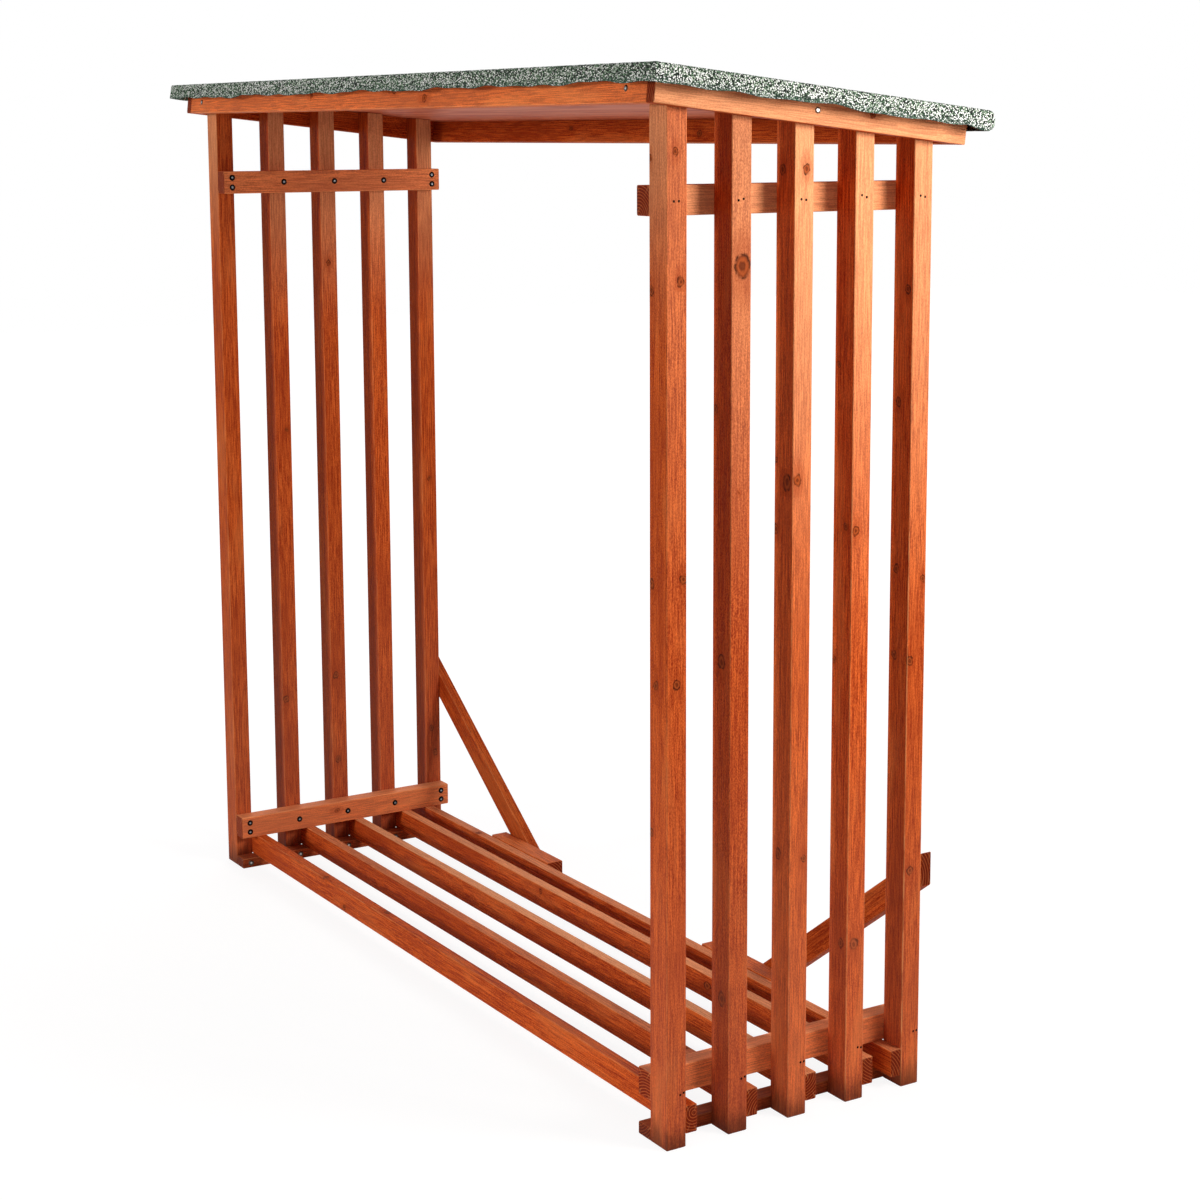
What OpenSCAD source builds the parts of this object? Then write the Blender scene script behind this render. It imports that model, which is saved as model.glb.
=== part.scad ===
// Log store: two end frames of upright posts, a floor of slats set on edge, two corner
// braces at the back and a felted roof that falls towards the back.
// X runs along the length, the open front faces -Y and Z is up. The origin is on the
// ground under the middle of the roof.

/* [Store] */
// Length over the outer faces of the posts
store_l = 1830; // [1200:10:2600]
// Depth over the posts, front to back
store_d = 526; // [440:2:760]
// Height of the roof frame's lower front edge
eaves_z = 1694; // [1200:2:2200]

/* [End frames] */
// Posts in each end frame
post_n = 5; // [3:1:6]
// Post size along the length
post_w = 50; // [30:1:70]
// Post size front to back
post_d = 38; // [26:1:50]
// Thickness of the battens and foot rails, along the length
batten_t = 36; // [20:1:60]
// Height of the battens
batten_h = 48; // [30:1:70]
// Drop from the eaves to the top of the upper battens
upper_drop = 126; // [100:1:300]
// Height of the foot rails that lie on the ground
foot_h = 22; // [14:1:40]

/* [Floor] */
// Thickness of a floor slat, front to back
slat_t = 22; // [14:1:30]
// Height of a floor slat
slat_h = 48; // [30:1:80]

/* [Braces] */
// Thickness of a brace, front to back
brace_t = 22; // [14:1:40]
// Width of a brace across its slope
brace_w = 48; // [30:1:80]
// Height of a brace's upper corner on its end post
brace_z = 416; // [300:2:600]
// Rise of a brace from level, in degrees
brace_rise = 36.5; // [30:0.5:55]
// Length of the spacer block between a brace and the floor
block_l = 250; // [180:2:400]
// Height of the spacer block
block_h = 51; // [30:1:80]

/* [Roof] */
// Fall of the roof towards the back, in degrees
roof_fall = 6.3; // [2:0.1:10]
// Reach of the roof frame in front of the posts
front_reach = 38; // [30:1:80]
// Reach of the roof frame behind the posts
back_reach = 50; // [30:1:80]
// Thickness of the roof rails
rail_t = 22; // [14:1:30]
// Height of the roof rails
rail_h = 46; // [30:1:80]
// Thickness of the roof board
board_t = 10; // [6:1:20]
// Overhang of the board past the side rails
side_over = 34; // [10:1:60]
// Overhang of the board past the front and back rails
end_over = 25; // [10:1:60]
// Thickness of the roofing felt
felt_t = 2.5; // [1.5:0.5:5]
// Depth of the felt's turned-down hem, from its top
hem_h = 31; // [24:1:60]
// Radius of the felt's upright corner folds
fold_r = 7; // [5:0.5:12]

/* [Finish] */
// Radius of the timbers' eased long edges
arris_r = 3; // [0.5:0.5:5]

/* [Hidden] */
$fn = 32;
SIDES = ["left", "right"];
SIDED_PIECES = ["upper_batten", "lower_batten", "foot_rail", "brace", "brace_block", "roof_rail"];

timber = "#b65a34";
board_brown = "#a06a50";
felt_green = "#6e8273";

// Ends of the store, and the inner faces that the battens lie on
end_x = store_l / 2;
inner_x = end_x - post_w;

// Heights above the ground
floor_z = foot_h + slat_h;
upper_z = eaves_z - upper_drop - batten_h;

// The roof's own frame starts at its lower front edge, runs back down the slope and is
// placed so that the felt's front and back edges lie as far from the origin.
roof_run = (store_d + front_reach + back_reach) / cos(roof_fall);
roof_top = rail_h + board_t + felt_t;
roof_y = -(roof_run * cos(roof_fall) + (2 * roof_top - hem_h) * sin(roof_fall)) / 2;

// Front face of each post, and of the slat that goes with it: the last slat lies in
// front of its post, the others behind theirs.
front_y = roof_y + front_reach;
back_y = front_y + store_d;
post_pitch = (store_d - post_d) / (post_n - 1);
function post_y(i) = front_y + (i - 1) * post_pitch;
function slat_y(i) = i < post_n ? post_y(i) + post_d : post_y(i) - slat_t;

// Middle of a brace's level cut, over which its block is centred
block_x = end_x - (brace_z - foot_h - brace_w / cos(brace_rise) / 2) / tan(brace_rise);
brace_l = brace_z / sin(brace_rise) + brace_w / tan(brace_rise);

// Margin by which a cutting block stands clear of what it trims
clear = 50;

// Section of a timber with eased edges, from the origin
module eased(w, h) {
    translate([arris_r, 0])
        square([w - 2 * arris_r, h]);
    translate([0, arris_r])
        square([w, h - 2 * arris_r]);
    for (x = [arris_r, w - arris_r], y = [arris_r, h - arris_r])
        translate([x, y])
            circle(arris_r);
}

// Timber along X, from the origin, with the given length, depth and height
module bar_x(l, d, h) {
    rotate([90, 0, 90])
        linear_extrude(l)
            eased(d, h);
}

// Timber along Y, from the origin, with the given length, width and height
module bar_y(l, w, h) {
    translate([0, l, 0])
        rotate([90, 0, 0])
            linear_extrude(l)
                eased(w, h);
}

// Draws the right-hand piece, or its mirror image on the left
module on_side(side) {
    mirror([side == "left" ? 1 : 0, 0, 0])
        children();
}

module on_roof() {
    translate([0, roof_y, eaves_z])
        rotate([-roof_fall, 0, 0])
            children();
}

// Upright post, cut to the slope of the board that it carries
module post(side, i) {
    color(timber)
        on_side(side)
            difference() {
                translate([inner_x, post_y(i), 0])
                    linear_extrude(eaves_z + roof_top)
                        eased(post_w, post_d);
                on_roof()
                    translate([0, -clear, rail_h])
                        cube([store_l, roof_run + 2 * clear, roof_top + roof_run]);
            }
}

// Batten across the inner faces of an end frame's posts
module batten(side, z) {
    color(timber)
        on_side(side)
            translate([inner_x - batten_t, front_y, z])
                bar_y(store_d, batten_t, batten_h);
}

module upper_batten(side) {
    batten(side, upper_z);
}

// Lies on the floor slats and holds them down
module lower_batten(side) {
    batten(side, floor_z);
}

// Flat rail on the ground that carries the slats' ends
module foot_rail(side) {
    color(timber)
        on_side(side)
            translate([inner_x - batten_t, front_y, 0])
                bar_y(store_d, batten_t, foot_h);
}

module floor_slat(i) {
    color(timber)
        translate([-end_x, slat_y(i), foot_h])
            bar_x(store_l, slat_t, slat_h);
}

// Corner brace behind the end post: plumb cut at the post's outer face, level cut at
// the underside of the floor
module brace(side) {
    color(timber)
        on_side(side)
            difference() {
                translate([end_x, back_y, brace_z])
                    rotate([0, -brace_rise, 0])
                        translate([-brace_l, 0, -brace_w])
                            bar_x(brace_l + brace_w, brace_t, brace_w);
                translate([end_x, back_y - clear, 0])
                    cube([brace_z, brace_t + 2 * clear, 2 * brace_z]);
                translate([-end_x, back_y - clear, foot_h - brace_z])
                    cube([store_l, brace_t + 2 * clear, brace_z]);
            }
}

// Spacer between the back slat and a brace
module brace_block(side) {
    color(timber)
        on_side(side)
            translate([block_x - block_l / 2, post_y(post_n), foot_h])
                bar_x(block_l, post_d, block_h);
}

// Roof rail along the side, outside the posts
module side_roof_rail(side) {
    color(timber)
        on_side(side)
            on_roof()
                translate([end_x, 0, 0])
                    bar_y(roof_run, rail_t, rail_h);
}

// Roof rail between the side rails, at a distance down the slope
module cross_rail(y) {
    color(timber)
        on_roof()
            translate([-end_x, y, 0])
                bar_x(store_l, rail_t, rail_h);
}

module front_roof_rail() {
    cross_rail(0);
}

module back_roof_rail() {
    cross_rail(roof_run - rail_t);
}

// Level sheet over the whole roof, spread past the rails by a margin on every side
module roof_sheet(spread, thick, corner) {
    half_l = end_x + rail_t + side_over + spread;
    run = roof_run + 2 * (end_over + spread);
    translate([0, -end_over - spread, 0])
        linear_extrude(thick)
            union() {
                translate([-half_l + corner, 0])
                    square([2 * (half_l - corner), run]);
                translate([-half_l, corner])
                    square([2 * half_l, run - 2 * corner]);
                for (x = [-1, 1], y = [corner, run - corner])
                    translate([x * (half_l - corner), y])
                        circle(corner);
            }
}

module roof_board() {
    color(board_brown)
        on_roof()
            translate([0, 0, rail_h])
                roof_sheet(0, board_t, fold_r - felt_t);
}

// Felt folded over the board's edges, with a hem that hangs below the board
module roof_felt() {
    color(felt_green)
        on_roof()
            difference() {
                translate([0, 0, roof_top - hem_h])
                    roof_sheet(felt_t, hem_h, fold_r);
                translate([0, 0, roof_top - hem_h - clear])
                    roof_sheet(0, hem_h + clear - felt_t, fold_r - felt_t);
            }
}

for (side = SIDES) {
    for (i = [1:post_n])
        post(side, i);
    upper_batten(side);
    lower_batten(side);
    foot_rail(side);
    brace(side);
    brace_block(side);
    side_roof_rail(side);
}
for (i = [1:post_n])
    floor_slat(i);
front_roof_rail();
back_roof_rail();
roof_board();
roof_felt();
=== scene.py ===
import math

import bmesh
import bpy
import numpy as np
from mathutils import Matrix, Vector


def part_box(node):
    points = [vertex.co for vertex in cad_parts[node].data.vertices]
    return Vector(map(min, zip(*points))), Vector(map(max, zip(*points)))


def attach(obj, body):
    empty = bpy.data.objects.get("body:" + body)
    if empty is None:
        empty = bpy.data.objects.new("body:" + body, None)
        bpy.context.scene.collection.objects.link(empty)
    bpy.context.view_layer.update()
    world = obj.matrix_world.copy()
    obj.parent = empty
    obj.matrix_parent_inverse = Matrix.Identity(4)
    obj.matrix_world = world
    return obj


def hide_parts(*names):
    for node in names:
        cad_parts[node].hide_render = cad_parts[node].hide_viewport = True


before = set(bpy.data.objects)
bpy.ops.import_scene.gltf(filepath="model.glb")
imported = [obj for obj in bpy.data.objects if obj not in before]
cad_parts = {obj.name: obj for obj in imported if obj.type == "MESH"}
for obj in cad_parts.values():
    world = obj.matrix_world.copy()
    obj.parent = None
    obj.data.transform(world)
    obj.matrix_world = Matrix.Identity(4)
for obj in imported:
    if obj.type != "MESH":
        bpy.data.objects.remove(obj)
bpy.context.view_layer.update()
rng = np.random.default_rng(11)
sides = {"left": -1.0, "right": 1.0}
postCount = sum(name.startswith("left_post_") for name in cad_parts)
xAxis, yAxis, zAxis = np.eye(3)
print("frame loaded,", len(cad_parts), "nodes")


def boxOf(node):
    # lowest and highest corners of a node as arrays
    low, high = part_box(node)
    return np.array(low), np.array(high)


# The roof's slope, from how the posts step down towards the back
frontPostLow, frontPostHigh = boxOf("right_post_1")
backPostLow, backPostHigh = boxOf(f"right_post_{postCount}")
fall = math.atan2(frontPostHigh[2] - backPostHigh[2], backPostLow[1] - frontPostLow[1])
downSlope = np.array([0.0, math.cos(fall), -math.sin(fall)])
offSlope = np.array([0.0, math.sin(fall), math.cos(fall)])
boardUnder = np.array([0.0, frontPostLow[1], frontPostHigh[2]])  # a point of the board's underside


def slopeBox(node):
    # A box lying on the slope, from the level box round it: its lower front edge, its length
    # down the slope and its height off the slope. Level depth = run*cos + height*sin and
    # level height = run*sin + height*cos, solved for run and height.
    low, high = boxOf(node)
    deep, tall = (high - low)[1:]
    run = (deep * math.cos(fall) - tall * math.sin(fall)) / math.cos(2 * fall)
    height = (tall * math.cos(fall) - deep * math.sin(fall)) / math.cos(2 * fall)
    corner = np.array([0.0, low[1], low[2] + run * math.sin(fall)])
    return corner, run, height


def linear(hexCode):
    # sRGB hex to the linear colour that sockets take
    c = np.array([int(hexCode[i:i + 2], 16) for i in (1, 3, 5)]) / 255
    c = np.where(c <= 0.04045, c / 12.92, ((c + 0.055) / 1.055) ** 2.4)
    return (*c.tolist(), 1.0)


def put(tree, kind, inputs=(), out=0, **settings):
    # Adds a node and gives one of its outputs. Inputs come in order or by name, and each is a link,
    # a hex colour or a plain value.
    node = tree.nodes.new("ShaderNode" + kind)
    for key, value in settings.items():
        setattr(node, key, value)
    for key, value in inputs.items() if isinstance(inputs, dict) else enumerate(inputs):
        if isinstance(value, bpy.types.NodeSocket):
            tree.links.new(value, node.inputs[key])
        else:
            node.inputs[key].default_value = linear(value) if isinstance(value, str) else value
    return node.outputs[out] if len(node.outputs) else None


def newMaterial(name):
    # a material with an empty tree
    material = bpy.data.materials.new(name)
    material.use_nodes = True
    material.node_tree.nodes.clear()
    return material, material.node_tree


def closeMaterial(tree, spec, colour, roughness, height, sunk=False):
    # relief from a height, a dull shader over it and the material's output
    bump = put(tree, "Bump", {"Strength": spec["reliefStrength"], "Distance": spec["reliefDepth"],
                              "Height": height}, invert=sunk)
    shader = put(tree, "BsdfPrincipled", {"Base Color": colour, "Roughness": roughness,
                                          "Specular IOR Level": spec["specular"], "Normal": bump})
    put(tree, "OutputMaterial", (shader,))


mixFactor, mixA, mixB, mixOut = 0, 6, 7, 2  # a colour Mix node's sockets
smoothStep = dict(interpolation_type="SMOOTHSTEP")  # a Map Range that eases in and out
waveRadians = 20  # the wave texture draws this many radians to a unit

softwood = dict(
    ringWidth=0.0050,  # yearly rings
    ringStretch=0.05,  # the rings wander this much more slowly along the grain
    ringWander=2.2,
    ringPatch=0.030,  # size of a wander across the grain
    ringPush=9.0,  # radians by which a knot pushes the rings aside
    latePower=2.2,  # the higher, the thinner the late wood
    # noise in patches along the grain: length, width, detail and roughness
    patterns=dict(
        fibre=(0.050, 0.0017, 2.0, 0.50),  # drawn coarser than real fibres, which are too fine to show
        mottle=(0.0034, 0.0018, 1.0, 0.55),  # how unevenly the stain takes, from grain to grain
        pits=(0.0034, 0.0020, 1.0, 0.55),  # torn grain of the saw, also drawn coarse
        blotch=(0.30, 0.055, 3.0, 0.55),
        arrisWearAndHighlight=(0.05, 0.02, 3.0, 0.55),
        rim=(0.011, 0.009, 1.0, 0.55),
        knotRagged=(0.010, 0.007, 3.0, 0.55),
        soilRagged=(0.06, 0.012, 3.0, 0.55),
    ),
    knotRagged=0.0080,  # how far a knot's outline wanders
    soilRagged=0.07,  # and how far the top of the soil does
    knotStretch=0.76,  # knots are longer along the grain
    haloStretch=0.46,  # and the fibres flow round them for further still
    # smooth steps: what of, from where to where, and what they give at each end
    steps=dict(
        fibres=("fibre", 0.41, 0.59, 0.0, 1.0),
        flecks=("mottle", 0.43, 0.57, -0.5, 0.5),
        torn=("pits", 0.54, 0.66, 0.0, 1.0),
        thick=("blotch", 0.45, 0.70, 0.0, 0.50),
        thin=("blotch", 0.48, 0.28, 0.0, 0.40),
        body=("knotReach", 1.08, 0.80, 0.0, 0.92),
        pith=("knotReach", 0.55, 0.10, 0.0, 0.65),
        rimOuter=("knotReach", 1.26, 1.02, 0.0, 1.0),
        rimInner=("knotReach", 0.76, 1.00, 0.0, 1.0),
        rimBroken=("rim", 0.36, 0.58, 0.15, 0.90),
        halo=("haloReach", 2.9, 0.9, 0.0, 1.0),
        dust=("height", 0.90, 0.05, 0.0, 0.30),  # a film that is thicker lower down
        splash=("splashed", 0.060, 0.0, 0.0, 1.0),  # soil just above the ground
        # worn arrises, drawn also as a painted highlight
        wornAndLitArris=("arrisWearAndHighlight", 0.36, 0.60, 0.25, 1.0),
        roughness=("fibre", 0.2, 0.8, 0.48, 0.64),
    ),
    endRings=(0.60, 0.98),
    highlightTake=(0.1, 0.9, 0.45, 0.75),  # painted highlight: late wood takes more of it than early wood
    knotBands=3.4,  # light and dark bands to a knot's radius
    haloShare=0.42,
    leastStreak=0.14,  # shares of the orange over the red-brown
    lateShare=0.22,
    fibreShare=0.46,
    fleckShare=(1.4, 0.14),  # by the pits, and at least
    # how far each part stands up, in shares of the relief's depth
    relief=dict(fibre=0.8, mottle=0.5, late=0.25, pitted=-0.8, rim=-0.5),
    reliefDepth=0.0007,
    reliefStrength=0.7,
    specular=0.03,
)


def stainedSoftwood(spec):
    # Sawn spruce under a red-brown penetrating stain: early wood drinks the stain and goes deep
    # red-brown, late wood stays orange, end grain is darkest, and the sheen is dull.
    material, tree = newMaterial("stained_softwood")
    grain, knotPlace, mood = (
        put(tree, "Attribute", out="Vector", attribute_name=name) for name in ("grain", "knot", "mood"))
    knotSize, endCut, arris, soiled, paintedLightShare = (
        put(tree, "Attribute", out="Fac", attribute_name=name)
        for name in ("knotSize", "endCut", "arris", "soil", "paintedLight"))
    tone, pitting, tint = put(tree, "SeparateXYZ", (mood,)).node.outputs[:]
    height = put(tree, "SeparateXYZ", (put(tree, "TexCoord", out="Object"),), "Z")

    source = {"height": height}
    for name, (length, width, detail, rough) in spec["patterns"].items():
        stretched = put(tree, "VectorMath", (grain, (1 / length, 1 / width, 1 / width)), operation="MULTIPLY")
        source[name] = put(tree, "TexNoise", {"Vector": stretched, "Scale": 1.0, "Detail": detail,
                                              "Roughness": rough})
    knotRagged, soilRagged = (
        put(tree, "Math", (source[name], spec[name], -spec[name] / 2), operation="MULTIPLY_ADD")
        for name in ("knotRagged", "soilRagged"))
    source["splashed"] = put(tree, "Math", (height, soilRagged), operation="ADD")

    # How far off the nearest knot is, in its own radii, with a ragged outline, and the same
    # stretched along the grain, where the fibres flow round it
    toKnot = put(tree, "VectorMath", (grain, knotPlace), operation="SUBTRACT")
    for name, stretch in (("knotReach", spec["knotStretch"]), ("haloReach", spec["haloStretch"])):
        squeezed = put(tree, "VectorMath", (toKnot, (stretch, 1.0, 1.0)), operation="MULTIPLY")
        away = put(tree, "VectorMath", (squeezed,), "Value", operation="LENGTH")
        ragged = put(tree, "Math", (away, knotRagged), operation="ADD")
        source[name] = put(tree, "Math", (ragged, knotSize), operation="DIVIDE")
    step = {name: put(tree, "MapRange", (source[of], *ends), **smoothStep)
            for name, (of, *ends) in spec["steps"].items()}
    turns = put(tree, "Math", (source["knotReach"], spec["knotBands"]), operation="MULTIPLY")
    knotBands = put(tree, "Math", (turns, 1.0), operation="PINGPONG")

    # Yearly rings round the heart, pushed aside by the knots
    ringGrain = put(tree, "VectorMath", (grain, (spec["ringStretch"], 1.0, 1.0)), operation="MULTIPLY")
    ringScale = 2 * math.pi / waveRadians / spec["ringWidth"]
    pushed = put(tree, "Math", (step["halo"], spec["ringPush"]), operation="MULTIPLY")
    rings = put(tree, "TexWave",
                {"Vector": ringGrain, "Scale": ringScale, "Distortion": spec["ringWander"], "Detail": 2.0,
                 "Detail Scale": 1 / (spec["ringPatch"] * ringScale), "Detail Roughness": 0.5,
                 "Phase Offset": pushed},
                "Fac", wave_type="RINGS", rings_direction="X", wave_profile="SAW")
    endRings = put(tree, "MapRange", (rings, *spec["endRings"]), **smoothStep)
    lateWood = put(tree, "Math", (rings, spec["latePower"]), operation="POWER")

    # The streak goes from the red-brown of early wood to the orange of late wood
    fleckShare = put(tree, "Math", (pitting, *spec["fleckShare"]), operation="MULTIPLY_ADD")
    streak = spec["leastStreak"]
    for part, share in ((lateWood, spec["lateShare"]), (step["fibres"], spec["fibreShare"]),
                        (step["flecks"], fleckShare)):
        streak = put(tree, "Math", (part, share, streak), operation="MULTIPLY_ADD")
    highlightTake = put(tree, "MapRange", (streak, *spec["highlightTake"]), **smoothStep)
    rim = put(tree, "Math", (step["rimOuter"], step["rimInner"]), operation="MULTIPLY")
    # the second of these is the painted highlight, taken more by late wood; the seventh is worn arrises that
    # are also a painted highlight
    paler, paintedHighlight, pitted, halo, brokenRim, dusty, wornAndLitArris, soil = (
        put(tree, "Math", pair, operation="MULTIPLY") for pair in (
            (tint, -1.0), (paintedLightShare, highlightTake), (step["torn"], pitting), (step["halo"], spec["haloShare"]),
            (rim, step["rimBroken"]), (step["dust"], soiled), (arris, step["wornAndLitArris"]),
            (step["splash"], soiled)))

    # Each stack is a ground and the coats over it: a share and a colour, or the name of an earlier stack
    stacks = dict(
        knot=("#a0491f", (knotBands, "#6e2b0d"), (step["pith"], "#451707")),
        end=("#631d0a", (endRings, "#a54f28")),
        face=("#802005", (streak, "#e66d2d"), (step["thick"], "#963511"), (step["thin"], "#dd7c40"),
              (tint, "#a63f22"),  # a tint over 0 is redder
              (paler, "#ecab74"),  # and one under 0 paler
              # the first coat below is a painted highlight, pale where light falls
              (paintedHighlight, "#eeaf7d"), (pitted, "#6a2409"), (halo, "#93340f"), (step["body"], "knot"),
              # the fourth coat below is worn arrises, also a painted highlight
              (brokenRim, "#341004"), (dusty, "#ae6d57"), (endCut, "end"), (wornAndLitArris, "#eda56c"),
              (soil, "#43231a")),
    )
    painted = {}
    for name, (colour, *coats) in stacks.items():
        for share, over in coats:
            colour = put(tree, "Mix", {mixFactor: share, mixA: colour, mixB: painted.get(over, over)}, mixOut,
                         data_type="RGBA")
        painted[name] = colour
    toned = put(tree, "HueSaturation", {"Color": painted["face"], "Value": tone})

    standing = dict(source, late=lateWood, pitted=pitted, rim=brokenRim)
    relief = 0.0
    for name, lift in spec["relief"].items():
        relief = put(tree, "Math", (standing[name], lift, relief), operation="MULTIPLY_ADD")
    closeMaterial(tree, spec, toned, step["roughness"], relief)
    return material


plyBoard = dict(
    # length, width, detail and warp
    figure=(0.50, 0.035, 3.0, 1.4),  # peeled veneer shows long soft figure
    checks=(0.25, 0.0030, 2.0, 0.0),  # and fine cracks along it
    figureStep=(0.32, 0.68),
    checkStep=(0.62, 0.72, 0.0, 0.5),
    reliefDepth=0.0004,
    reliefStrength=0.4,
    roughness=0.55,
    specular=0.1,
)


def stainedPly(spec):
    # Thin plywood under the same stain: a peeled face veneer, so broad soft figure, a pinker and
    # milkier brown than the solid wood, and a faint sheen.
    material, tree = newMaterial("stained_plywood")
    place = put(tree, "TexCoord", out="Object")
    noise = {}
    for name in ("figure", "checks"):
        length, width, detail, warp = spec[name]
        stretched = put(tree, "VectorMath", (place, (1 / length, 1 / width, 1 / width)), operation="MULTIPLY")
        noise[name] = put(tree, "TexNoise", {"Vector": stretched, "Scale": 1.0, "Detail": detail,
                                             "Roughness": 0.5, "Distortion": warp})
    figured = put(tree, "MapRange", (noise["figure"], *spec["figureStep"]), **smoothStep)
    checked = put(tree, "MapRange", (noise["checks"], *spec["checkStep"]), **smoothStep)
    colour = "#b3512f"
    for share, over in ((figured, "#d47652"), (checked, "#743620")):
        colour = put(tree, "Mix", {mixFactor: share, mixA: colour, mixB: over}, mixOut, data_type="RGBA")
    closeMaterial(tree, spec, colour, spec["roughness"], noise["checks"])
    return material


feltFinish = dict(
    granule=0.0021,  # crushed slate, drawn a little over its real size so that it shows
    granuleLength=0.0032,  # flakes lie along the roll, which runs the length of the roof
    granuleShift=0.47,  # in flakes along it: with this the right-hand hem is as light as it should be
    shades=((0.15, "#0e1510"), (0.39, "#587a5e"), (0.57, "#a5b8a1"), (0.76, "#fbfefb")),
    gap=(0.40, 0.66, 0.0, 0.9),  # where a grain ends and the bitumen shows, in granules from its middle
    patch=0.09,  # size of the greener patches
    patchStep=(0.35, 0.75, 0.0, 0.25),
    hemShadeStep=(0.55, 1.0, 0.0, 0.30),  # painted shade: the hem darkens on the way down
    cutStep=(0.4, 0.9),
    reliefDepth=0.0012,
    reliefStrength=0.8,
    roughness=0.92,
    specular=0.25,
)


def mineralFelt(spec):
    # Bitumen felt with crushed green slate pressed into it: dull grey-green grit, each grain its
    # own shade from near black to near white, with black bitumen at the cut edge.
    material, tree = newMaterial("green_mineral_felt")
    place = put(tree, "TexCoord", out="Object")
    laid = put(tree, "VectorMath",
               (place, (1 / spec["granuleLength"], 1 / spec["granule"], 1 / spec["granule"]),
                (spec["granuleShift"], 0.0, 0.0)), operation="MULTIPLY_ADD")
    granules = put(tree, "TexVoronoi", {"Vector": laid, "Scale": 1.0}).node.outputs
    patch = put(tree, "TexNoise", {"Vector": place, "Scale": 1 / spec["patch"], "Detail": 3.0})
    shade = put(tree, "SeparateColor", (granules["Color"],))
    colour = put(tree, "ValToRGB", (shade,))
    stops = colour.node.color_ramp.elements
    for position, _ in spec["shades"][len(stops):]:
        stops.new(position)
    for stop, (position, code) in zip(stops, spec["shades"]):
        stop.position = position
        stop.color = linear(code)
    drop, cut = (put(tree, "Attribute", out="Fac", attribute_name=name) for name in ("hemDrop", "cutEdge"))
    coats = ((patch, "patchStep", "#587a5c"), (granules["Distance"], "gap", "#0d1210"),
             (drop, "hemShadeStep", "#2f5145"), (cut, "cutStep", "#191a19"))
    for value, ends, over in coats:
        share = put(tree, "MapRange", (value, *spec[ends]), **smoothStep)
        colour = put(tree, "Mix", {mixFactor: share, mixA: colour, mixB: over}, mixOut, data_type="RGBA")
    closeMaterial(tree, spec, colour, spec["roughness"], granules["Distance"], sunk=True)
    return material


steels = dict(
    speck=0.003,  # size of the plating's uneven patches
    speckStep=(0.3, 0.7, 0.0, 0.5),
    # painted shade: the head goes dark towards its rim and over the collar
    rimStep=(0.30, 0.60),
    dullFrom=0.2,
    dullTo=0.8,
    dullest=0.15,  # roughness that they add
    blacked=dict(name="blacked_steel", face="#8d9196", rim="#0c0a09", roughness=0.38),
    zinced=dict(name="zinc_plated_steel", face="#c9cccd", rim="#4a3a30", roughness=0.30),
    nail=dict(name="nail_steel", face="#120b08", rim="#120b08", roughness=0.60),
)


def platedSteel(spec, kind):
    # Fastener steel: plating that is a little uneven, and painted shade where the rim sits down in the wood
    steel = spec[kind]
    material, tree = newMaterial(steel["name"])
    place = put(tree, "TexCoord", out="Object")
    uneven = put(tree, "TexNoise", {"Vector": place, "Scale": 1 / spec["speck"], "Detail": 2.0})
    rim = put(tree, "Attribute", out="Fac", attribute_name="rim")
    colour = steel["face"]
    for value, ends, over in ((uneven, "speckStep", "#3a3836"), (rim, "rimStep", steel["rim"])):
        share = put(tree, "MapRange", (value, *spec[ends]), **smoothStep)
        colour = put(tree, "Mix", {mixFactor: share, mixA: colour, mixB: over}, mixOut, data_type="RGBA")
    least = steel["roughness"]
    ends = spec["dullFrom"], spec["dullTo"], least, least + spec["dullest"]
    roughness = put(tree, "MapRange", (uneven, *ends), **smoothStep)
    shader = put(tree, "BsdfPrincipled", {"Base Color": colour, "Metallic": 1.0, "Roughness": roughness})
    put(tree, "OutputMaterial", (shader,))
    return material


softwoodFinish = stainedSoftwood(softwood)
plyFinish = stainedPly(plyBoard)
feltMaterial = mineralFelt(feltFinish)
blackedSteel, zincedSteel, nailSteel = (platedSteel(steels, kind) for kind in ("blacked", "zinced", "nail"))
print("materials made")

weldGap = 1e-6  # points closer than this are one


def makePiece(name, points, faces, finish, smooth, values, stands=(), faceValues=None):
    # puts arrays of points and faces into a mesh, with what each carries, and hangs it on the frame
    mesh = bpy.data.meshes.new(name)
    mesh.from_pydata(points.reshape(-1, 3).tolist(), [], faces)
    for domain, carried in (("POINT", values), ("FACE", faceValues or {})):
        for key, value in carried.items():
            flat = np.ascontiguousarray(value, np.float32)
            kind, field = ("FLOAT_VECTOR", "vector") if flat.ndim == 2 else ("FLOAT", "value")
            mesh.attributes.new(key, kind, domain).data.foreach_set(field, flat.ravel())
    mesh.polygons.foreach_set("use_smooth", smooth)
    welded = bmesh.new()
    welded.from_mesh(mesh)
    bmesh.ops.remove_doubles(welded, verts=welded.verts, dist=weldGap)
    welded.to_mesh(mesh)
    welded.free()
    mesh.materials.append(finish)
    piece = bpy.data.objects.new(name, mesh)
    bpy.context.collection.objects.link(piece)
    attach(piece, "root")
    if stands:
        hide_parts(*stands)
    return piece


def gridFaces(rows, columns):
    # quads of a grid of points whose rows are closed rings
    row, column = np.mgrid[0:rows - 1, 0:columns]
    after = (column + 1) % columns
    here, above = row * columns, (row + 1) * columns
    corners = [here + column, here + after, above + after, above + column]
    return np.stack([c.ravel() for c in corners], 1)


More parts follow.
